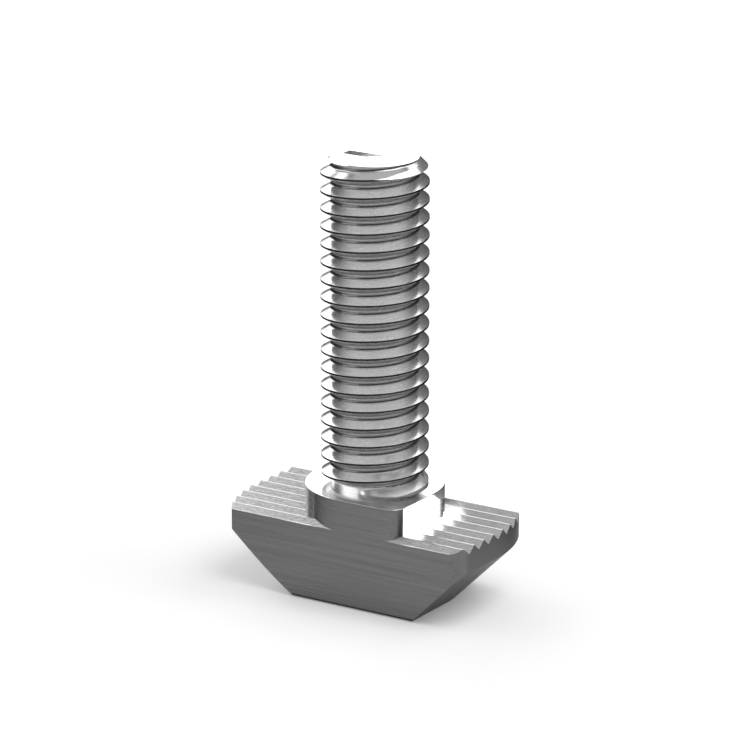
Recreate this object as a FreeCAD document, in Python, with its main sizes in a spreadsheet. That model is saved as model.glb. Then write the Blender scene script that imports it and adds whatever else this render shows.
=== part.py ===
"""T-slot bolt, M6 x 1, for an 8 mm profile slot: one forged and rolled steel piece.

The bolt stands on the flat underside of its head. The head's long side lies along X, the shank
points up along Z, and the origin is the centre of the head's underside. The head drops into the
slot lengthwise and turns a quarter clockwise, so two opposite corners of the head and of the
square neck are arcs about the bolt's own axis, and the other two are tight corners that stop
the turn.
"""
import FreeCAD, Part
import math
import os
import Sketcher

SIZES = {
    # threaded shank, M6 x 1
    "thread_diameter": 5.96,
    "thread_root_diameter": 4.77,
    "thread_pitch": 1.0,
    "thread_crest_land": 0.08,
    "thread_flank_angle": 30.0,
    "thread_flank_depth": 0.36,
    "first_crest_depth": 0.46,
    "shank_length": 18.51,
    "tip_chamfer": 0.57,
    # square neck that locks in the slot's mouth, as wide as the head
    "neck_height": 1.51,
    "neck_corner_radius": 0.8,
    # hammer head
    "head_length": 16.0,
    "head_width": 7.75,
    "head_height": 4.68,
    "head_corner_radius": 0.8,
    "end_bevel_height": 3.22,
    # grip teeth that run along the head's top
    "tooth_pitch": 1.0,
    "tooth_count": 8,
    "tooth_crest_land": 0.07,
    "tooth_groove_angle": 100.0,
    # milled mark across the shank's end face, which shows how the hidden head lies
    "mark_length": 3.8,
    "mark_width": 0.8,
    "mark_depth": 0.35,
}

# how far a cutting profile reaches past the metal that it cuts
CUT_MARGIN = 1.0

# lengths that follow from the sheet
NECK_TOP = "(sizes.head_height + sizes.neck_height)"
TIP = f"({NECK_TOP} + sizes.shank_length)"
THREAD_RADIUS = "(sizes.thread_diameter / 2)"
ROOT_RADIUS = "(sizes.thread_root_diameter / 2)"
HALF_LENGTH = "(sizes.head_length / 2)"
HALF_WIDTH = "(sizes.head_width / 2)"
TOOTH_OPENING = "(sizes.tooth_pitch - sizes.tooth_crest_land)"
TOOTH_SLOPE = "tan(sizes.tooth_groove_angle * 1deg / 2)"
TOOTH_FLOOR = f"(sizes.head_height - {TOOTH_OPENING} / 2 / {TOOTH_SLOPE})"

# the thread groove starts a whole number of turns below its last turn, hidden in the neck
GROOVE_TURNS = "(ceil(sizes.shank_length / sizes.thread_pitch) + 1)"
GROOVE_START = (f"({TIP} - sizes.first_crest_depth"
                f" - ({GROOVE_TURNS} - 0.5) * sizes.thread_pitch)")
GROOVE_HALF_MOUTH = "((sizes.thread_pitch - sizes.thread_crest_land) / 2)"
# below its straight flanks the groove is a flatter V, which stands for the rolled root's rounding
FLANK_FOOT_RADIUS = f"({THREAD_RADIUS} - sizes.thread_flank_depth)"
GROOVE_HALF_ROOT = (f"({GROOVE_HALF_MOUTH} - sizes.thread_flank_depth"
                    f" * tan(sizes.thread_flank_angle * 1deg))")
# the plain rod goes this many pitches into the neck and head, below the groove's start
HIDDEN_PITCHES = 3
ROD_FOOT = f"({NECK_TOP} - {HIDDEN_PITCHES} * sizes.thread_pitch)"

doc = FreeCAD.newDocument("t_slot_bolt")


def make_sheet():
    """The driving dimensions, in millimetres and degrees."""
    sheet = doc.addObject("Spreadsheet::Sheet", "sizes")
    for row, (alias, number) in enumerate(SIZES.items(), start=1):
        sheet.set(f"A{row}", alias)
        sheet.set(f"B{row}", str(number))
        sheet.setAlias(f"B{row}", alias)
    doc.recompute()


def value(expression):
    """What an expression comes to with the sheet's present numbers."""
    return float(doc.sizes.evalExpression(expression))


def origin_part(body, role):
    """The body's own plane or axis with this role, as a link to it."""
    found = next(part for part in body.Origin.OriginFeatures if part.Role == role)
    return (found, [""])


def new_sketch(body, name, plane, lift=None):
    """An empty sketch on one of the body's planes, lifted off it by an expression if given."""
    sketch = body.newObject("Sketcher::SketchObject", name)
    sketch.AttachmentSupport = [(origin_part(body, plane)[0], "")]
    sketch.MapMode = "FlatFace"
    if lift:
        sketch.setExpression("AttachmentOffset.Base.z", lift)
    return sketch


def constrain(sketch, *terms):
    sketch.addConstraint(Sketcher.Constraint(*terms))


def bind(sketch, name, expression, *terms):
    """A named dimension of the sketch that follows an expression."""
    constrain(sketch, *terms, value(expression))
    sketch.renameConstraint(sketch.ConstraintCount - 1, name)
    sketch.setExpression(f"Constraints.{name}", expression)


def polygon(body, name, plane, corners):
    """A closed polygon. Each corner has a name and two expressions, across and up."""
    sketch = new_sketch(body, name, plane)
    points = [FreeCAD.Vector(value(across), value(up), 0) for across, up in corners.values()]
    count = len(points)
    for i in range(count):
        sketch.addGeometry(Part.LineSegment(points[i], points[(i + 1) % count]))
    for i in range(count):
        constrain(sketch, "Coincident", i, 2, (i + 1) % count, 1)
    for i, (corner, (across, up)) in enumerate(corners.items()):
        if across == "0":
            constrain(sketch, "PointOnObject", i, 1, -2)
        else:
            bind(sketch, f"{corner}_across", across, "DistanceX", -1, 1, i, 1)
        bind(sketch, f"{corner}_up", up, "DistanceY", -1, 1, i, 1)
    return sketch


def arc(centre, radius, start, end):
    """A sketch arc from one angle to another, in degrees, anticlockwise."""
    circle = Part.Circle(centre, FreeCAD.Vector(0, 0, 1), radius)
    return Part.ArcOfCircle(circle, math.radians(start), math.radians(end))


def turning_outline(body, name, half_length, half_width, corner, lift=None):
    """A block's outline with two corners that let it turn in the slot and two tight ones.

    Each half runs round from the X axis side: straight side, arc about the bolt's axis, back
    edge, tight corner. A square block's arc meets its back edge smoothly, a long one's doesn't.
    """
    sketch = new_sketch(body, name, "XY_Plane", lift)
    a, b, c = value(half_length), value(half_width), value(corner)
    square = half_length == half_width
    arc_end = math.degrees(math.asin(b / a))
    for turned in (0, 180):
        spin = FreeCAD.Rotation(FreeCAD.Vector(0, 0, 1), turned)

        def at(x, y):
            return spin.multVec(FreeCAD.Vector(x, y, 0))

        sketch.addGeometry(Part.LineSegment(at(a, c - b), at(a, 0)))
        sketch.addGeometry(arc(at(0, 0), a, turned, turned + arc_end))
        sketch.addGeometry(Part.LineSegment(at(math.sqrt(a * a - b * b), b), at(c - a, b)))
        sketch.addGeometry(arc(at(c - a, b - c), c, turned + 90, turned + 180))
    for side in (0, 4):
        straight, turn, edge, tight = range(side, side + 4)
        next_straight = (side + 4) % 8
        constrain(sketch, "Vertical", straight)
        constrain(sketch, "Horizontal", edge)
        constrain(sketch, "Coincident", turn, 3, -1, 1)
        constrain(sketch, "Tangent", edge, 2, tight, 1)
        constrain(sketch, "Tangent", tight, 2, next_straight, 1)
        if square:
            constrain(sketch, "Tangent", straight, 2, turn, 1)
            constrain(sketch, "Tangent", turn, 2, edge, 1)
        else:
            constrain(sketch, "PointOnObject", straight, 2, -1)
            constrain(sketch, "Coincident", straight, 2, turn, 1)
            constrain(sketch, "Coincident", turn, 2, edge, 1)
    if not square:
        bind(sketch, "half_width", half_width, "DistanceY", -1, 1, 2, 1)
        bind(sketch, "other_half_width", half_width, "DistanceY", 6, 1, -1, 1)
    bind(sketch, "half_length", half_length, "Radius", 1)
    constrain(sketch, "Equal", 1, 5)
    bind(sketch, "corner", corner, "Radius", 3)
    constrain(sketch, "Equal", 3, 7)
    return sketch


def feature(body, kind, name, **settings):
    """A feature of the body. Settings that are text and name the sheet become expressions."""
    made = body.newObject(f"PartDesign::{kind}", name)
    for key, setting in settings.items():
        if isinstance(setting, str) and "sizes." in setting:
            made.setExpression(key, setting)
        else:
            setattr(made, key, setting)
    return made


def check_cut(made):
    """Recompute, and stop if a cutting feature took nothing off what was there before it."""
    doc.recompute()
    if not made.Shape.Volume < made.BaseFeature.Shape.Volume - 0.001:
        raise RuntimeError(f"{made.Label} cuts nothing")


def make_shank():
    """The threaded shank: a rod with a chamfered, marked tip and a helical groove."""
    body = doc.addObject("PartDesign::Body", "threaded_shank")
    z_axis = origin_part(body, "Z_Axis")
    rod_section = polygon(body, "rod_section", "XZ_Plane", {
        "foot_centre": ("0", ROD_FOOT),
        "foot_edge": (THREAD_RADIUS, ROD_FOOT),
        "chamfer_foot": (THREAD_RADIUS, f"{TIP} - sizes.tip_chamfer"),
        "chamfer_top": (f"{THREAD_RADIUS} - sizes.tip_chamfer", TIP),
        "tip_centre": ("0", TIP),
    })
    feature(body, "Revolution", "rod", Profile=rod_section, ReferenceAxis=z_axis, Angle=360.0)
    make_mark(body)
    outside = f"({THREAD_RADIUS} + {CUT_MARGIN})"
    groove_section = polygon(body, "groove_section", "XZ_Plane", {
        "root": (ROOT_RADIUS, GROOVE_START),
        "flank_foot_low": (FLANK_FOOT_RADIUS, f"{GROOVE_START} - {GROOVE_HALF_ROOT}"),
        "mouth_low": (THREAD_RADIUS, f"{GROOVE_START} - {GROOVE_HALF_MOUTH}"),
        "outside_low": (outside, f"{GROOVE_START} - {GROOVE_HALF_MOUTH}"),
        "outside_high": (outside, f"{GROOVE_START} + {GROOVE_HALF_MOUTH}"),
        "mouth_high": (THREAD_RADIUS, f"{GROOVE_START} + {GROOVE_HALF_MOUTH}"),
        "flank_foot_high": (FLANK_FOOT_RADIUS, f"{GROOVE_START} + {GROOVE_HALF_ROOT}"),
    })
    groove = feature(body, "SubtractiveHelix", "thread_groove", Profile=groove_section,
                     ReferenceAxis=z_axis, Mode="pitch-turns-angle", Pitch="sizes.thread_pitch",
                     Turns=f"{GROOVE_TURNS} + 1", Refine=False)
    check_cut(groove)
    return body


def make_mark(body):
    """The shallow mark in the end face, left by a disc cutter and in line with the head."""
    disc_radius = ("((sizes.mark_length / 2) ^ 2 + sizes.mark_depth ^ 2)"
                   " / (2 * sizes.mark_depth)")
    centre_height = f"{TIP} - sizes.mark_depth + {disc_radius}"
    disc = new_sketch(body, "mark_disc", "XZ_Plane")
    centre = FreeCAD.Vector(0, value(centre_height), 0)
    disc.addGeometry(Part.Circle(centre, FreeCAD.Vector(0, 0, 1), value(disc_radius)))
    constrain(disc, "PointOnObject", 0, 3, -2)
    bind(disc, "centre_height", centre_height, "DistanceY", -1, 1, 0, 3)
    bind(disc, "disc_radius", disc_radius, "Radius", 0)
    mark = feature(body, "Pocket", "mark", Profile=disc, SideType="Symmetric",
                   Length="sizes.mark_width")
    check_cut(mark)


def make_bevels(body):
    """Under each end the tight corner's half has a flat bevel, and the arc's half a cone."""
    z_axis = origin_part(body, "Z_Axis")
    bevel_corners = {
        "low_inner": (f"{HALF_LENGTH} - sizes.end_bevel_height - {CUT_MARGIN}", f"-{CUT_MARGIN}"),
        "low_outer": (f"{HALF_LENGTH} + {CUT_MARGIN}", f"-{CUT_MARGIN}"),
        "high_outer": (f"{HALF_LENGTH} + {CUT_MARGIN}", f"sizes.end_bevel_height + {CUT_MARGIN}"),
    }
    flat_section = polygon(body, "flat_bevel_section", "XZ_Plane", bevel_corners)
    flat_bevel = feature(body, "Pocket", "flat_bevel", Profile=flat_section, Reversed=True,
                         Length=f"{HALF_WIDTH} + {CUT_MARGIN}")
    check_cut(flat_bevel)
    cone_section = polygon(body, "cone_bevel_section", "XZ_Plane", bevel_corners)
    cone_bevel = feature(body, "Groove", "cone_bevel", Profile=cone_section,
                         ReferenceAxis=z_axis, Angle=90.0)
    check_cut(cone_bevel)
    both_ends = feature(body, "PolarPattern", "bevels_at_both_ends", Axis=z_axis,
                        Originals=[flat_bevel, cone_bevel], Occurrences=2)
    body.Tip = both_ends
    check_cut(both_ends)


def make_teeth(body):
    """Grip teeth along the head's top: V grooves, spread both ways from the middle of the head."""
    middle = "(mod(sizes.tooth_count; 2) / 2 * sizes.tooth_pitch)"
    half_mouth = f"({TOOTH_OPENING} / 2 + {CUT_MARGIN} * {TOOTH_SLOPE})"
    section = polygon(body, "tooth_groove_section", "YZ_Plane", {
        "floor": (middle, TOOTH_FLOOR),
        "back_lip": (f"{middle} + {half_mouth}", f"sizes.head_height + {CUT_MARGIN}"),
        "front_lip": (f"{middle} - {half_mouth}", f"sizes.head_height + {CUT_MARGIN}"),
    })
    groove = feature(body, "Pocket", "tooth_groove", Profile=section, SideType="Symmetric",
                     Length=f"sizes.head_length + {CUT_MARGIN}")
    check_cut(groove)
    steps = {
        "back_teeth": "floor(sizes.tooth_count / 2)",
        "front_teeth": "ceil(sizes.tooth_count / 2)",
    }
    for name, count in steps.items():
        teeth = feature(body, "LinearPattern", name, Direction=origin_part(body, "Y_Axis"),
                        Reversed=name == "front_teeth", Originals=[groove],
                        Occurrences=f"{count} + 1", Length=f"{count} * sizes.tooth_pitch")
        body.Tip = teeth
        check_cut(teeth)


def make_bolt():
    """The whole bolt: hammer head, square neck on its middle, and the shank fused in."""
    shank = make_shank()
    body = doc.addObject("PartDesign::Body", "t_slot_bolt")
    body.Placement = FreeCAD.Placement()
    head_outline = turning_outline(body, "head_outline", HALF_LENGTH, HALF_WIDTH,
                                   "sizes.head_corner_radius")
    feature(body, "Pad", "head", Profile=head_outline, Length="sizes.head_height")
    make_bevels(body)
    make_teeth(body)
    neck_outline = turning_outline(body, "neck_outline", HALF_WIDTH, HALF_WIDTH,
                                   "sizes.neck_corner_radius", lift=ROD_FOOT)
    feature(body, "Pad", "neck", Profile=neck_outline, Length=f"{NECK_TOP} - {ROD_FOOT}")
    whole = feature(body, "Boolean", "head_and_shank", Type="Fuse", Refine=False)
    whole.setObjects([shank])
    doc.recompute()
    return body


def check_document():
    """Stop if any object failed."""
    for item in doc.Objects:
        if {"Invalid", "Error"} & set(item.State):
            raise RuntimeError(f"{item.Label} failed: {item.State}")


def write_step(body):
    """Write the body's file, after a check that it is one valid solid."""
    shape = body.Shape
    if shape.isNull() or not shape.isValid() or len(shape.Solids) != 1:
        raise RuntimeError(f"{body.Label} isn't one valid solid")
    os.makedirs("parts", exist_ok=True)
    shape.exportStep(f"parts/{body.Label}.step")
    print(f"{body.Label}: {shape.Volume:.2f} mm3, {len(shape.Faces)} faces")


make_sheet()
bolt = make_bolt()
check_document()
write_step(bolt)
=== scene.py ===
"""Looks of the T-slot bolt: bright steel, with drawn sides, milled teeth and a rolled thread, where the
sides and the thread's crests, roots and under flanks carry painted shade in their colour.

Sizes are in millimetres until a mesh is finished, and the frame's axes are the CAD's: X along the
head, Y across it, Z up the shank. The CAD solid is replaced by a head with its neck and by a
threaded shank, which have its sizes and add what it leaves out: broken edges, the rounding of the
thread's crest and root, the end of its groove, and the slope of the mark's floor.
"""
import bisect
import math

import bmesh
import bpy
from mathutils import Matrix, Vector


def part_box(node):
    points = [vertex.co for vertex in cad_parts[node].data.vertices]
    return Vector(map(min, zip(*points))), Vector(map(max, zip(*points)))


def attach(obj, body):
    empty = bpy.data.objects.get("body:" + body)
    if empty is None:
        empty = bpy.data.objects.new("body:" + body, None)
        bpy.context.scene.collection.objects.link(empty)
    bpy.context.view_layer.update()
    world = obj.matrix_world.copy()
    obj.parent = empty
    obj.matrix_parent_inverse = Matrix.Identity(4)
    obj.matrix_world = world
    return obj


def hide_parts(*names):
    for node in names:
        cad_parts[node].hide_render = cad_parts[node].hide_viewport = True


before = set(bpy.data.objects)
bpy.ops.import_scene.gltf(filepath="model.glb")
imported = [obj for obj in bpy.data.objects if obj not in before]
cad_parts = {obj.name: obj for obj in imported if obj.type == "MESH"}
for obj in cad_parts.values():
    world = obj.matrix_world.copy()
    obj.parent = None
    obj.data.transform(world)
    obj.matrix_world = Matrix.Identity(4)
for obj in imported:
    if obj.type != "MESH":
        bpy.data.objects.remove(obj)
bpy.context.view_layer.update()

MM = 0.001

# the bolt's sizes, of which its box gives the first three
NODE = "t_slot_bolt"
HALF_LENGTH, HALF_WIDTH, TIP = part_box(NODE)[1] / MM
HEAD_HEIGHT = 4.68
NECK_TOP = 6.19
END_BEVEL = 3.22
CORNER_RADIUS = 0.8
THREAD_RADIUS = 2.98
ROOT_RADIUS = 2.39
PITCH = 1.0
FLANK_ANGLE = math.radians(30)
# a little wider than the solid's, for the painted dark line along the thread's crests
CREST_LAND = 0.11
FIRST_CREST_DEPTH = 0.46
TIP_CHAMFER = 0.57
TOOTH_PITCH = 1.0
TOOTH_COUNT = 8
TOOTH_LAND = 0.07
TOOTH_HALF_ANGLE = math.radians(50)
MARK_LENGTH = 3.8
MARK_WIDTH = 0.8
MARK_DEPTH = 0.35
# the power by which the mark's floor rises from its left end, where the solid's is an arc
MARK_FALL = 3

# roundings that the solid leaves out
EDGE_BREAK = 0.03
FOOT_BREAK = 0.28
TOOTH_ROUNDING = 0.03
TIGHT_CORNER_BREAK = 0.12
TIP_EDGE_BREAK = 0.02
CREST_ROUNDING = 0.015

# the groove ends in a plain band: the turn where it does, counted from the first crest, and its fade
RUNOUT_TURN = -18.23
RUNOUT_LENGTH = 0.12
BAND_HEIGHT = 0.6
LAST_RIDGE_HEIGHT = 0.4

# how finely the meshes are divided
ARC_STEPS = 4
CORNER_STEPS = 12
STATION_GAP = 0.16
BEVEL_STEPS = 12
TURN_STEPS = 144
ROOT_STEPS = 5
MARK_STEPS = 24

# points closer than this are one
WELD_GAP = 2e-4
# the most of a side that the rounding of one of its corners takes
SIDE_SHARE = 0.49
# turns of thread made beyond the shank's two ends, which the end cuts take off
SPARE_TURNS = 2

# where the neck and the shank end, hidden inside what carries them
NECK_FOOT = 4.0
SHANK_FOOT = NECK_TOP - 0.6


def rounded(points, radius, steps=ARC_STEPS, closed=True):
    """The polyline with each corner replaced by an arc, as far as its shorter side allows."""
    count = len(points)
    result = []
    for i, corner in enumerate(points):
        if not closed and i in (0, count - 1):
            result.append(corner.copy())
            continue
        before = points[i - 1] - corner
        after = points[(i + 1) % count] - corner
        a, b = before.normalized(), after.normalized()
        half = a.angle(b, math.pi) / 2
        reach = min(radius / max(math.tan(half), 1e-6), SIDE_SHARE * before.length,
                    SIDE_SHARE * after.length)
        if math.pi / 2 - half < 1e-4 or reach < 1e-6:
            result.extend(corner.copy() for _ in range(steps + 1))
            continue
        centre = corner + (a + b).normalized() * (reach / math.cos(half))
        to_start, to_end = corner + a * reach - centre, corner + b * reach - centre
        turn = math.pi - 2 * half
        for k in range(steps + 1):
            start_share = math.sin((1 - k / steps) * turn) / math.sin(turn)
            end_share = math.sin(k / steps * turn) / math.sin(turn)
            result.append(centre + to_start * start_share + to_end * end_share)
    return result


def interpolate(table, at):
    """The value at a place, from a list of (place, value) in rising order."""
    places = [place for place, _ in table]
    i = min(max(bisect.bisect_right(places, at), 1), len(table) - 1)
    (x0, y0), (x1, y1) = table[i - 1], table[i]
    return y0 + (y1 - y0) * (at - x0) / (x1 - x0) if x1 > x0 else y1


def distinct(numbers):
    """The numbers in rising order, without those that nearly repeat."""
    kept = []
    for number in sorted(numbers):
        if not kept or number - kept[-1] > WELD_GAP:
            kept.append(number)
    return kept


def tooth_profile():
    """The head's top from front to back, as (y, z): tooth crests with rounded edges and valleys."""
    points = []
    slope = 1 / math.tan(TOOTH_HALF_ANGLE)
    half_land = TOOTH_LAND / 2
    valley = HEAD_HEIGHT - (TOOTH_PITCH / 2 - half_land) * slope
    first = -(TOOTH_COUNT - 1) / 2 * TOOTH_PITCH
    front_drop = (first - half_land + HALF_WIDTH) * slope
    points.append(Vector((-HALF_WIDTH, HEAD_HEIGHT - front_drop)))
    for i in range(TOOTH_COUNT):
        crest = first + i * TOOTH_PITCH
        if i:
            points.append(Vector((crest - TOOTH_PITCH / 2, valley)))
        points.append(Vector((crest - half_land, HEAD_HEIGHT)))
        points.append(Vector((crest + half_land, HEAD_HEIGHT)))
    points.append(Vector((HALF_WIDTH, HEAD_HEIGHT - front_drop)))
    # the front and back faces carry on below the last flanks, so that those edges round too
    face = Vector((0, -1))
    points = [points[0] + face, *points, points[-1] + face]
    profile = rounded(points, TOOTH_ROUNDING, closed=False)[1:-1]
    return [(p.x, p.y) for p in profile]


def half_outline():
    """How far the head's right end reaches at each y: tight corner, straight side, then an arc."""
    a, b, c = HALF_LENGTH, HALF_WIDTH, CORNER_RADIUS
    outline = []
    for k in range(CORNER_STEPS + 1):
        turn = math.pi / 2 * k / CORNER_STEPS
        outline.append(Vector((a - c + c * math.sin(turn), c - b - c * math.cos(turn))))
    outline.append(Vector((a, 0)))
    end = math.asin(b / a)
    steps = round(b / STATION_GAP)
    for k in range(1, steps + 1):
        turn = end * k / steps
        outline.append(Vector((a * math.cos(turn), a * math.sin(turn))))
    tail = [outline[-2], outline[-1], outline[-1] - Vector((1, 0))]
    outline = outline[:-1] + rounded(tail, TIGHT_CORNER_BREAK, closed=False)[1:-1]
    return [(p.y, p.x) for p in outline]


TOP = tooth_profile()
OUTLINE = half_outline()


def head_loop(y, inset):
    """The head's cut at one y, as a closed loop of points round from its top left."""
    top = interpolate(TOP, y)
    right = interpolate(OUTLINE, y)
    left = -interpolate(OUTLINE, -y)
    inner = HALF_LENGTH - END_BEVEL

    def bevel(side, end):
        """Points of one end's bevel from the end wall inwards, flat on one half, a cone on the other."""
        cone = side * y > 0
        turn_in = inner + inset
        start = math.sqrt(max(turn_in ** 2 - y ** 2, 0)) if cone else turn_in
        points = []
        for k in range(BEVEL_STEPS + 1):
            x = abs(end) + (start - abs(end)) * k / BEVEL_STEPS
            reach = math.hypot(x, y) if cone else x
            points.append(Vector((side * x, max(reach - inner, inset))))
        return points

    right_bevel = bevel(1, right)
    left_bevel = bevel(-1, left)[::-1]
    corners = [Vector((left, top)), Vector((right, top)), *right_bevel, *left_bevel]
    return [Vector((p.x, y, p.y)) for p in rounded(corners, EDGE_BREAK / 2, 2)]


def loops_to_mesh(loops):
    """A closed mesh through loops of equal length, with a face over the first and the last."""
    bm = bmesh.new()
    rings = [[bm.verts.new(point) for point in loop] for loop in loops]
    for a, b in zip(rings, rings[1:]):
        for i in range(len(a)):
            j = (i + 1) % len(a)
            bm.faces.new((a[i], a[j], b[j], b[i]))
    bm.faces.new(rings[0][::-1])
    bm.faces.new(rings[-1])
    bmesh.ops.remove_doubles(bm, verts=bm.verts, dist=WELD_GAP)
    bmesh.ops.dissolve_degenerate(bm, dist=1e-4, edges=bm.edges)
    bmesh.ops.recalc_face_normals(bm, faces=bm.faces)
    return bm


def make_head():
    """The hammer head, from its front face to its back face."""
    edge_turns = [math.pi / 2 * k / ARC_STEPS for k in range(ARC_STEPS + 1)]
    face_edge = [(HALF_WIDTH - FOOT_BREAK * (1 - math.sin(t)), FOOT_BREAK * (1 - math.cos(t)))
                 for t in edge_turns]
    inner_end = HALF_WIDTH - FOOT_BREAK
    stations = [y for y, _ in TOP] + [y for y, _ in OUTLINE] + [-y for y, _ in OUTLINE]
    places = distinct(y for y in stations if abs(y) < inner_end - 1e-3)
    loops = [head_loop(-y, inset) for y, inset in reversed(face_edge)]
    loops += [head_loop(y, 0) for y in places]
    loops += [head_loop(y, inset) for y, inset in face_edge]
    return loops_to_mesh(loops)


def neck_loop(inset, z):
    """The neck's outline, shrunk by an inset, at one height."""
    w, c = HALF_WIDTH - inset, CORNER_RADIUS - inset
    loop = []
    wide_steps = 4 * CORNER_STEPS
    for spin_angle in (0, math.pi):
        spin = Matrix.Rotation(spin_angle, 3, "Z")
        for k in range(wide_steps + 1):
            turn = math.pi / 2 * k / wide_steps
            loop.append(spin @ Vector((w * math.cos(turn), w * math.sin(turn), z)))
        for k in range(CORNER_STEPS + 1):
            turn = math.pi / 2 * (1 + k / CORNER_STEPS)
            loop.append(spin @ Vector((c - w + c * math.cos(turn), w - c + c * math.sin(turn), z)))
    return loop


def make_neck():
    """The square neck, from inside the head to its top."""
    loops = [neck_loop(0, NECK_FOOT)]
    for k in range(ARC_STEPS + 1):
        turn = math.pi / 2 * k / ARC_STEPS
        loops.append(neck_loop(EDGE_BREAK * (1 - math.cos(turn)),
                               NECK_TOP - EDGE_BREAK * (1 - math.sin(turn))))
    return loops_to_mesh(loops)


def thread_profile():
    """One pitch of the thread as (rise from the crest, radius), with rounded crest and root."""
    half = PITCH / 2
    land = CREST_LAND / 2
    run = (THREAD_RADIUS - ROOT_RADIUS) * math.tan(FLANK_ANGLE)
    # the root is one arc that touches both flanks
    root_round = (half - land - run) * math.cos(FLANK_ANGLE) / (1 - math.sin(FLANK_ANGLE))
    root_turns = [(math.pi / 2 - FLANK_ANGLE) * k / ROOT_STEPS for k in range(ROOT_STEPS + 1)]
    low_root = [Vector((root_round * math.sin(turn) - half,
                        ROOT_RADIUS + root_round * (1 - math.cos(turn)))) for turn in root_turns]
    corner = [low_root[-1], Vector((-land, THREAD_RADIUS)), Vector((land, THREAD_RADIUS))]
    low_crest = rounded(corner, CREST_ROUNDING, closed=False)[1:-1]
    flank = low_root[-1].lerp(low_crest[0], 0.5)
    low_half = [*low_root, flank, *low_crest]
    high_half = [Vector((-p.x, p.y)) for p in reversed(low_half[1:])]
    return [(p.x, p.y) for p in low_half + high_half]


def tip_radius(z):
    """How wide the tip's chamfer and its rounded edge leave the shank at a height."""
    below = TIP - z
    face = THREAD_RADIUS - TIP_CHAMFER
    round_reach = TIP_EDGE_BREAK * math.tan(math.pi / 8)
    drop = round_reach * math.sqrt(0.5)
    if below > TIP_CHAMFER:
        return THREAD_RADIUS + (below - TIP_CHAMFER)
    if below >= drop:
        return face + below
    depth = TIP_EDGE_BREAK - below
    return face - round_reach + math.sqrt(max(TIP_EDGE_BREAK ** 2 - depth ** 2, 0))


def make_shank():
    """The threaded shank: a helical sheet cut to the tip's form, closed at both ends."""
    profile = thread_profile()
    crest_phase = TIP - FIRST_CREST_DEPTH
    turns_down = math.ceil((crest_phase - SHANK_FOOT) / PITCH)
    bm = bmesh.new()
    rows = []
    for turn in range(-turns_down - SPARE_TURNS, SPARE_TURNS + 1):
        for rise, radius in profile:
            row = []
            for k in range(TURN_STEPS):
                angle = 2 * math.pi * k / TURN_STEPS
                turns = turn + k / TURN_STEPS
                ridge = min(max((turns - RUNOUT_TURN) / RUNOUT_LENGTH, 0), 1)
                reach = ROOT_RADIUS + (radius - ROOT_RADIUS) * ridge
                z = crest_phase + PITCH * turns + rise
                row.append(bm.verts.new((reach * math.cos(angle), reach * math.sin(angle), z)))
            rows.append(row)
    per_turn = len(profile)
    for i in range(len(rows) - 1):
        for k in range(TURN_STEPS - 1):
            bm.faces.new((rows[i][k], rows[i][k + 1], rows[i + 1][k + 1], rows[i + 1][k]))
    for i in range(len(rows) - 1 - per_turn):
        lower, upper = rows[i + per_turn], rows[i + per_turn + 1]
        bm.faces.new((rows[i][-1], lower[0], upper[0], rows[i + 1][-1]))
    # rings near the tip's edge, for its rounding
    edge_drop = TIP_EDGE_BREAK * (1 - math.sqrt(0.5))
    cuts = [TIP - edge_drop * k / ARC_STEPS for k in range(ARC_STEPS + 1)]
    for height in cuts[1:]:
        slice_at(bm, height)
    slice_at(bm, cuts[0], drop_above=True)
    slice_at(bm, SHANK_FOOT, drop_below=True)
    trim_to_tip(bm)
    close_tip(bm)
    close_foot(bm)
    bmesh.ops.recalc_face_normals(bm, faces=bm.faces)
    return bm


def slice_at(bm, height, drop_above=False, drop_below=False):
    """Cut the mesh along a level plane, and drop what lies above or below it if asked."""
    geometry = bm.verts[:] + bm.edges[:] + bm.faces[:]
    bmesh.ops.bisect_plane(bm, geom=geometry, dist=1e-5, plane_co=(0, 0, height),
                           plane_no=(0, 0, 1), clear_outer=drop_above, clear_inner=drop_below)


def trim_to_tip(bm):
    """Draw a crease where the thread meets the tip's chamfer, and pull what is outside onto it."""
    def outside(vert):
        return math.hypot(vert.co.x, vert.co.y) - tip_radius(vert.co.z)

    near = TIP - TIP_CHAMFER - 0.1
    crossed = [edge for edge in bm.edges
               if max(v.co.z for v in edge.verts) > near
               and outside(edge.verts[0]) * outside(edge.verts[1]) < -1e-12]
    added = []
    for edge in crossed:
        a, b = edge.verts
        at_a, at_b = outside(a), outside(b)
        _, vert = bmesh.utils.edge_split(edge, a, at_a / (at_a - at_b))
        added.append(vert)
    creases = set(added)
    for face in {face for vert in added for face in vert.link_faces}:
        pair = [vert for vert in face.verts if vert in creases]
        if len(pair) == 2:
            bmesh.utils.face_split(face, *pair)
    for vert in bm.verts:
        if vert.co.z > near and (outside(vert) > 0 or vert in creases):
            scale = tip_radius(vert.co.z) / math.hypot(vert.co.x, vert.co.y)
            vert.co.x *= scale
            vert.co.y *= scale


def border(bm, height):
    """The open edges that lie at a height."""
    return [edge for edge in bm.edges
            if edge.is_boundary and all(abs(v.co.z - height) < 1e-4 for v in edge.verts)]


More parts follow.
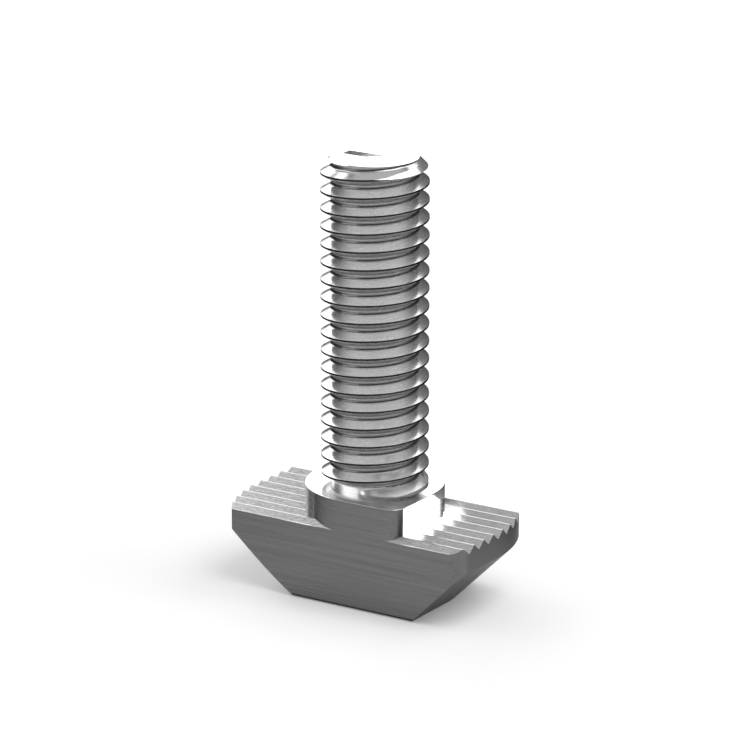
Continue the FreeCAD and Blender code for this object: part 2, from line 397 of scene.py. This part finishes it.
def close_tip(bm):
    """The end face, with its milled mark: a slot deepest at its left end, from where it runs out."""
    rim = border(bm, TIP)
    half_length, half_width = MARK_LENGTH / 2, MARK_WIDTH / 2

    def floor(x):
        return TIP - MARK_DEPTH * (0.5 - x / MARK_LENGTH) ** MARK_FALL

    places = [-half_length * math.cos(math.pi * k / MARK_STEPS) for k in range(MARK_STEPS + 1)]
    front, back = ([bm.verts.new((x, y, TIP)) for x in places] for y in (-half_width, half_width))
    front_floor, back_floor = ([bm.verts.new((x, y, floor(x))) for x in places[:-1]]
                               for y in (-half_width, half_width))
    front_low = [*front_floor, front[-1]]
    back_low = [*back_floor, back[-1]]
    bm.faces.new((front[0], front_low[0], back_low[0], back[0]))
    for i in range(MARK_STEPS):
        bm.faces.new((front_low[i], front_low[i + 1], back_low[i + 1], back_low[i]))
        for top, low_side in ((front, front_low), (back, back_low)):
            corners = [top[i], top[i + 1], low_side[i + 1], low_side[i]]
            bm.faces.new(list(dict.fromkeys(corners)))
    ends = [bm.edges.get((front[i], back[i])) for i in (0, -1)]
    sides = [bm.edges.get((side[i], side[i + 1]))
             for side in (front, back) for i in range(MARK_STEPS)]
    bmesh.ops.triangle_fill(bm, edges=rim + ends + sides, use_beauty=True, use_dissolve=False)


def close_foot(bm):
    """A flat face over the shank's foot, inside the neck."""
    bmesh.ops.contextual_create(bm, geom=border(bm, SHANK_FOOT))


def new_piece(name, bm, *materials):
    """An object from a mesh in millimetres, which rides on the bolt and stands for its solid."""
    mesh = bpy.data.meshes.new(name)
    bm.to_mesh(mesh)
    bm.free()
    piece = bpy.data.objects.new(name, mesh)
    bpy.context.scene.collection.objects.link(piece)
    for material in materials:
        mesh.materials.append(material)
    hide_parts(NODE)
    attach(piece, "root")
    return piece


def apply_modifier(piece, modifier):
    """Make what a modifier gives the piece's own mesh."""
    graph = bpy.context.evaluated_depsgraph_get()
    result = bpy.data.meshes.new_from_object(piece.evaluated_get(graph))
    piece.modifiers.remove(modifier)
    piece.data = result


def join_solid(piece, other):
    """Fuse another closed mesh into the piece, and drop the other."""
    union = piece.modifiers.new("fuse", "BOOLEAN")
    union.operation = "UNION"
    union.solver = "EXACT"
    union.object = other
    apply_modifier(piece, union)
    bpy.data.objects.remove(other)


def smooth(piece, angle):
    """Smooth shading by area, so that flats stay flat, with edges above an angle kept sharp."""
    piece.data.shade_smooth()
    piece.data.set_sharp_from_angle(angle=math.radians(angle))
    weighted = piece.modifiers.new("flats_stay_flat", "WEIGHTED_NORMAL")
    weighted.keep_sharp = True
    weighted.weight = 50
    apply_modifier(piece, weighted)


def to_metres(piece):
    piece.data.transform(Matrix.Scale(MM, 4))


def add_node(tree, kind, inputs=None, **settings):
    """A shader node with its settings, and its inputs by name or place: a value or a link."""
    node = tree.nodes.new(f"ShaderNode{kind}")
    for key, setting in settings.items():
        setattr(node, key, setting)
    for key, source in (inputs or {}).items():
        if isinstance(source, bpy.types.NodeSocket):
            tree.links.new(source, node.inputs[key])
        else:
            node.inputs[key].default_value = source
    return node


def grain(tree, size, turn=(0, 0, 0), detail=3.0, waviness=0.0):
    """Noise over the piece whose grains have this size in millimetres along its turned axes."""
    place = add_node(tree, "TexCoord").outputs["Object"]
    turned = [math.radians(angle) for angle in turn]
    mapped = add_node(tree, "Mapping", {"Vector": place, "Rotation": turned,
                                        "Scale": [length * MM for length in size]},
                      vector_type="TEXTURE")
    noise = add_node(tree, "TexNoise", {"Vector": mapped.outputs[0], "Scale": 1.0, "Detail": detail,
                                        "Roughness": 0.6, "Distortion": waviness})
    return noise.outputs[0]


def ramp(tree, source, low, high, to_low=0.0, to_high=1.0):
    """A smooth step of a value, from one level to another."""
    step = add_node(tree, "MapRange", {0: source, 1: low, 2: high, 3: to_low, 4: to_high},
                    interpolation_type="SMOOTHSTEP")
    return step.outputs[0]


def calculate(tree, operation, a, b=0):
    return add_node(tree, "Math", {0: a, 1: b}, operation=operation).outputs[0]


def facing(tree):
    """The surface's own direction, as its X, Y and Z parts on the piece."""
    normal = add_node(tree, "TexCoord").outputs["Normal"]
    return add_node(tree, "SeparateXYZ", {0: normal}).outputs


def mix(tree, share, a, b):
    """A blend of two levels."""
    blend = add_node(tree, "Mix", {0: share, 2: a, 3: b}, data_type="FLOAT")
    return blend.outputs[0]


def steel(name, build, metallic=1.0, grazing=0.4):
    """A steel finish: build gives its brightness, roughness and surface height in micrometres.

    Grazing is how bright it stays where it is seen almost edge on.
    """
    material = bpy.data.materials.new(name)
    material.use_nodes = True
    tree = material.node_tree
    shader = tree.nodes["Principled BSDF"]
    brightness, roughness, height = build(tree)
    bump = add_node(tree, "Bump", {"Strength": 1.0, "Distance": 1e-6, "Height": height})
    tree.links.new(brightness, shader.inputs["Base Color"])
    tree.links.new(roughness, shader.inputs["Roughness"])
    tree.links.new(bump.outputs[0], shader.inputs["Normal"])
    shader.inputs["Metallic"].default_value = metallic
    shader.inputs["Specular Tint"].default_value = (grazing, grazing, grazing, 1)
    return material


def drawn_painted_dark_finish(tree):
    """Drawn sides, rough, with a painted dark reflection in their colour: fine wavy lines along the head
    on its front and back, plain ends.
    """
    lines = grain(tree, (7.0, 0.06, 0.06), waviness=0.35)
    bands = grain(tree, (9.0, 0.35, 0.35), detail=1.0, waviness=0.2)
    across = calculate(tree, "ABSOLUTE", facing(tree)[0])
    lined = ramp(tree, across, 0.55, 0.75, 1, 0)
    both = calculate(tree, "ADD", calculate(tree, "MULTIPLY", lines, 0.7),
                     calculate(tree, "MULTIPLY", bands, 0.3))
    contrast = calculate(tree, "MULTIPLY", calculate(tree, "SUBTRACT", both, 0.5), lined)
    # painted dark reflection: the sides' low brightness stands in for the dark that they reflect
    plain = mix(tree, lined, 0.165, 0.16)
    brightness = calculate(tree, "ADD", plain, calculate(tree, "MULTIPLY", contrast, 0.17))
    # painted shade darkens the rounded edge at the foot of the long faces, and painted light makes the
    # end bevels lighter
    foot = calculate(tree, "MULTIPLY", ramp(tree, facing(tree)[2], -0.2, -0.7),
                     ramp(tree, across, 0.3, 0.5, 0.75, -0.5))
    brightness = calculate(tree, "MULTIPLY", brightness, calculate(tree, "SUBTRACT", 1, foot))
    roughness = ramp(tree, lines, 0.3, 0.7, 0.26, 0.38)
    height = calculate(tree, "MULTIPLY", calculate(tree, "MULTIPLY", lines, lined), 4.0)
    return brightness, roughness, height


def milled_finish(tree):
    """Bright milled teeth: faint slanted streaks along each flank."""
    streaks = grain(tree, (1.4, 0.04, 0.04), turn=(0, 5, 6), waviness=0.2)
    brightness = ramp(tree, streaks, 0.2, 0.8, 0.74, 0.92)
    roughness = ramp(tree, streaks, 0.3, 0.7, 0.16, 0.24)
    return brightness, roughness, calculate(tree, "MULTIPLY", streaks, 3.0)


def neck_finish(tree):
    """The neck's walls: bright and smooth on its two sides, rough round to its front and back, where
    they take the drawn sides' painted dark reflection.
    """
    x, y = facing(tree)[:2]
    side = ramp(tree, x, 0.985, 0.999)
    swept = calculate(tree, "MULTIPLY", ramp(tree, x, 0.5, 0.65), ramp(tree, y, 0.0, 0.02))
    right = calculate(tree, "MAXIMUM", side, swept)
    left = ramp(tree, calculate(tree, "MULTIPLY", x, -1), 0.40, 0.52)
    polished = calculate(tree, "MAXIMUM", right, left)
    painted_dark, dull_roughness, dull_height = drawn_painted_dark_finish(tree)
    cloud = grain(tree, (1.2, 1.2, 1.2))
    bright = ramp(tree, cloud, 0.2, 0.8, 0.88, 0.95)
    smooth_roughness = ramp(tree, cloud, 0.3, 0.7, 0.07, 0.11)
    height = calculate(tree, "MULTIPLY", dull_height, calculate(tree, "SUBTRACT", 1, polished))
    roughness = mix(tree, polished, dull_roughness, smooth_roughness)
    return mix(tree, polished, painted_dark, bright), roughness, height


def rolled_finish(tree):
    """Rolled thread: bright flanks towards the tip, painted shade on the crests and roots, fine lines
    round it.
    """
    up = facing(tree)[2]
    flank = ramp(tree, up, 0.5, 0.88)
    lines = grain(tree, (1.2, 1.2, 0.035), waviness=0.3)
    specks = grain(tree, (0.25, 0.25, 0.1))
    bright = ramp(tree, lines, 0.25, 0.75, 0.79, 0.87)
    painted_dark = ramp(tree, specks, 0.3, 0.7, 0.15, 0.2)
    # painted shade: the crest is painted darkest, as a dark line
    place = add_node(tree, "TexCoord").outputs["Object"]
    flat = add_node(tree, "VectorMath", {0: place, 1: (1 / MM, 1 / MM, 0)}, operation="MULTIPLY")
    across = add_node(tree, "VectorMath", {0: flat.outputs[0]}, operation="LENGTH").outputs["Value"]
    painted_dark = mix(tree, ramp(tree, across, THREAD_RADIUS - 0.2, THREAD_RADIUS - 0.04), painted_dark, 0.02)
    roughness = ramp(tree, lines, 0.3, 0.7, 0.15, 0.21)
    return mix(tree, flank, painted_dark, bright), roughness, calculate(tree, "MULTIPLY", lines, 0.5)


def under_finish(tree):
    """The thread's flanks that face the head, and the mark's walls: a darker, less metallic copy of the
    rolled thread, as painted shade.
    """
    lines = grain(tree, (1.2, 1.2, 0.035), waviness=0.3)
    bright = ramp(tree, lines, 0.25, 0.75, 0.61, 0.66)
    roughness = ramp(tree, lines, 0.3, 0.7, 0.22, 0.28)
    return bright, roughness, calculate(tree, "MULTIPLY", lines, 0.25)


def turned_finish(tree, roughness=0.15):
    """Turned and bright: the tip's end face and chamfer, the mark's floor and the neck's top."""
    cloud = grain(tree, (0.8, 0.8, 0.8))
    bright = ramp(tree, cloud, 0.2, 0.8, 0.82, 0.9)
    return bright, ramp(tree, cloud, 0.3, 0.7, roughness, roughness + 0.05), cloud


def band_finish(tree):
    """The plain band over the neck, less smooth than the turned faces."""
    return turned_finish(tree, 0.27)


# the drawn sides' dark colour is a painted dark reflection
drawn_painted_dark = steel("drawn_sides_painted_dark", drawn_painted_dark_finish)
milled = steel("milled_teeth", milled_finish)
neck_walls = steel("neck_walls", neck_finish, grazing=0.3)
rolled = steel("rolled_thread", rolled_finish)
# the under flanks' darker, less metallic look is painted shade
under = steel("under_flanks", under_finish, metallic=0.7)
turned = steel("turned_faces", turned_finish, grazing=0.8)
band = steel("plain_band", band_finish, grazing=0.8)


# how much of a face's normal points up or down: less than the first if upright, more if it leans
UPRIGHT = 0.1
LEANING = 0.3
LEVEL = 0.95
# how much of it points to the front or back if the face does
STRAIGHT_AHEAD = 0.9999
# how far a face may lie off the surface that it belongs to
CLOSE = 0.01
# the neck's faces between the teeth have their middles less than this below the crests
WALL_DEPTH = 0.35


def head_finish(face):
    """The material of one of the head's faces."""
    middle, normal = face.center / MM, face.normal
    if middle.z > NECK_TOP - EDGE_BREAK and normal.z > LEANING:
        return turned
    above_teeth = middle.z > HEAD_HEIGHT + CLOSE
    beside_teeth = middle.z > HEAD_HEIGHT - WALL_DEPTH and abs(normal.z) < UPRIGHT
    # faces that don't lean up, and the neck's front and back, take the drawn sides' painted dark
    # reflection
    if abs(middle.x) < HALF_WIDTH + CLOSE and (above_teeth or beside_teeth):
        return drawn_painted_dark if abs(normal.y) > STRAIGHT_AHEAD else neck_walls
    return milled if normal.z > LEANING else drawn_painted_dark


def shank_finish(face):
    """The material of one of the shank's faces."""
    middle, normal = face.center / MM, face.normal
    across = math.hypot(middle.x, middle.y)
    marked = middle.z > TIP - MARK_DEPTH - CLOSE and across < MARK_LENGTH / 2 + 10 * CLOSE
    # the mark's walls take the under flanks' painted shade
    if marked and abs(normal.z) < UPRIGHT:
        return under
    on_tip = middle.z > TIP - TIP_CHAMFER and across > tip_radius(middle.z) - CLOSE
    if on_tip or marked or normal.z > LEVEL:
        return turned
    upright_root = across < ROOT_RADIUS + 2 * CLOSE and abs(normal.z) < UPRIGHT
    on_band = middle.z < NECK_TOP + BAND_HEIGHT and upright_root
    if on_band or middle.z < NECK_TOP + LAST_RIDGE_HEIGHT:
        return band
    # flanks that face down take the under flanks' painted shade
    return under if normal.z < -LEANING else rolled


def give_finishes(piece, finish):
    """Give each face of a piece the material that finish names for it."""
    place = {material.name: i for i, material in enumerate(piece.data.materials)}
    for face in piece.data.polygons:
        face.material_index = place[finish(face).name]


head = new_piece("head_and_neck", make_head(), drawn_painted_dark, milled, neck_walls, turned)
neck = new_piece("neck", make_neck(), drawn_painted_dark)
join_solid(head, neck)
smooth(head, 28)
to_metres(head)
give_finishes(head, head_finish)

shank = new_piece("threaded_shank", make_shank(), rolled, under, turned, band)
smooth(shank, 40)
to_metres(shank)
give_finishes(shank, shank_finish)

AIM = Vector((0, 0, 12.327)) * MM


def way_to(azimuth, elevation):
    """The direction at an angle round from the bolt's front towards its right, and one up."""
    a, e = math.radians(azimuth), math.radians(elevation)
    return Vector((math.sin(a) * math.cos(e), -math.cos(a) * math.cos(e), math.sin(e)))


def place_facing(thing, way, distance):
    """Add a camera or a lamp to the scene, this far off along a way and facing the bolt."""
    thing.location = AIM + way * distance
    thing.rotation_euler = (-way).to_track_quat("-Z", "Y").to_euler()
    bpy.context.scene.collection.objects.link(thing)


# the camera: its distance and lens are those that fit the photo's edges
AZIMUTH, ELEVATION = 32.813, 16.860
DISTANCE = 234.916 * MM
FOCAL_PIXELS, FRAME_PIXELS = 4273.551, 750
camera_data = bpy.data.cameras.new("camera")
camera_data.sensor_width = 36
camera_data.lens = FOCAL_PIXELS / FRAME_PIXELS * camera_data.sensor_width
camera_data.clip_start = 0.01
camera = bpy.data.objects.new("camera", camera_data)
place_facing(camera, way_to(AZIMUTH, ELEVATION), DISTANCE)
bpy.context.scene.camera = camera
bpy.context.scene.view_settings.view_transform = "Standard"


def softbox(name, azimuth, elevation, width, height, brightness, distance):
    """A flat lamp that faces the bolt, of a brightness where 1 is white.

    Its bearings, width and height are angles in degrees, and its distance is in metres.
    """
    data = bpy.data.lights.new(name, "AREA")
    data.shape = "RECTANGLE"
    data.size = 2 * distance * math.tan(math.radians(width) / 2)
    data.size_y = 2 * distance * math.tan(math.radians(height) / 2)
    data.energy = brightness * math.pi * data.size * data.size_y
    place_facing(bpy.data.objects.new(name, data), way_to(azimuth, elevation), distance)


# each lamp's azimuth, elevation, width, height, brightness and distance
softbox("back_left", 227, 19, 46, 30, 2.4, 0.26)
softbox("left_high", 273, 40, 44, 26, 1.55, 0.6)
softbox("upper_right", 85, 60, 45, 36, 2.4, 0.24)
softbox("upper_back", 138, 47, 60, 22, 1.3, 0.25)
softbox("front_left", 320, 17, 46, 14, 2.2, 0.26)
softbox("ceiling", 0, 90, 60, 60, 0.28, 0.3)

WORLD_LEVEL = 0.21
world = bpy.data.worlds.new("studio")
world.use_nodes = True
world_colour = (WORLD_LEVEL, WORLD_LEVEL, WORLD_LEVEL, 1)
world.node_tree.nodes["Background"].inputs["Color"].default_value = world_colour
bpy.context.scene.world = world

# the floor and its dark cards, in metres and shares of white
FLOOR_REACH = 5
FLOOR_TONE = 0.97
CARD_TONE = 0.15
CARD_BEARING = 213
CARD_START, CARD_FULL = 0.014, 0.022
# its own light beside the bolt and far off, and where it starts and stops rising
GLOW_NEAR, GLOW_FAR = 0.17, 1
GLOW_START, GLOW_FULL = 0.12, 0.4


def floor_white():
    """White, with dark cards to the sides and behind painted into its colour, which only the metal's
    reflections show: a painted dark reflection.
    """
    material = bpy.data.materials.new("floor_white")
    material.use_nodes = True
    tree = material.node_tree
    shader = tree.nodes["Principled BSDF"]
    path = add_node(tree, "LightPath").outputs
    spot = add_node(tree, "TexCoord").outputs["Object"]
    reach = add_node(tree, "VectorMath", {0: spot}, operation="LENGTH").outputs["Value"]
    bearing = add_node(tree, "VectorMath", {0: spot}, operation="NORMALIZE").outputs["Vector"]
    toward = add_node(tree, "VectorMath", {0: bearing, 1: way_to(CARD_BEARING, 0)},
                      operation="DOT_PRODUCT")
    side = ramp(tree, toward.outputs["Value"], -0.6, 0.5)
    card = calculate(tree, "MULTIPLY", side, ramp(tree, reach, CARD_START, CARD_FULL))
    card = calculate(tree, "MULTIPLY", card, path["Is Glossy Ray"])
    tree.links.new(mix(tree, card, FLOOR_TONE, CARD_TONE), shader.inputs["Base Color"])
    shader.inputs["Roughness"].default_value = 0.9
    shader.inputs["Specular IOR Level"].default_value = 0
    # light of its own keeps it white for the camera and for the metal
    seen = calculate(tree, "MAXIMUM", path["Is Camera Ray"], path["Is Glossy Ray"])
    lit = calculate(tree, "MULTIPLY", seen, calculate(tree, "SUBTRACT", 1, card))
    own_light = ramp(tree, reach, GLOW_START, GLOW_FULL, GLOW_NEAR, GLOW_FAR)
    strength = calculate(tree, "MULTIPLY", lit, own_light)
    glow = add_node(tree, "Emission", {"Color": (1, 1, 1, 1), "Strength": strength})
    both = add_node(tree, "AddShader", {0: shader.outputs[0], 1: glow.outputs[0]})
    tree.links.new(both.outputs[0], tree.nodes["Material Output"].inputs["Surface"])
    return material


floor_mesh = bpy.data.meshes.new("floor")
corners = [(-FLOOR_REACH, -FLOOR_REACH), (FLOOR_REACH, -FLOOR_REACH),
           (FLOOR_REACH, FLOOR_REACH), (-FLOOR_REACH, FLOOR_REACH)]
floor_mesh.from_pydata([(x, y, 0) for x, y in corners], [], [(0, 1, 2, 3)])
floor_mesh.materials.append(floor_white())
floor = bpy.data.objects.new("floor", floor_mesh)
bpy.context.scene.collection.objects.link(floor)
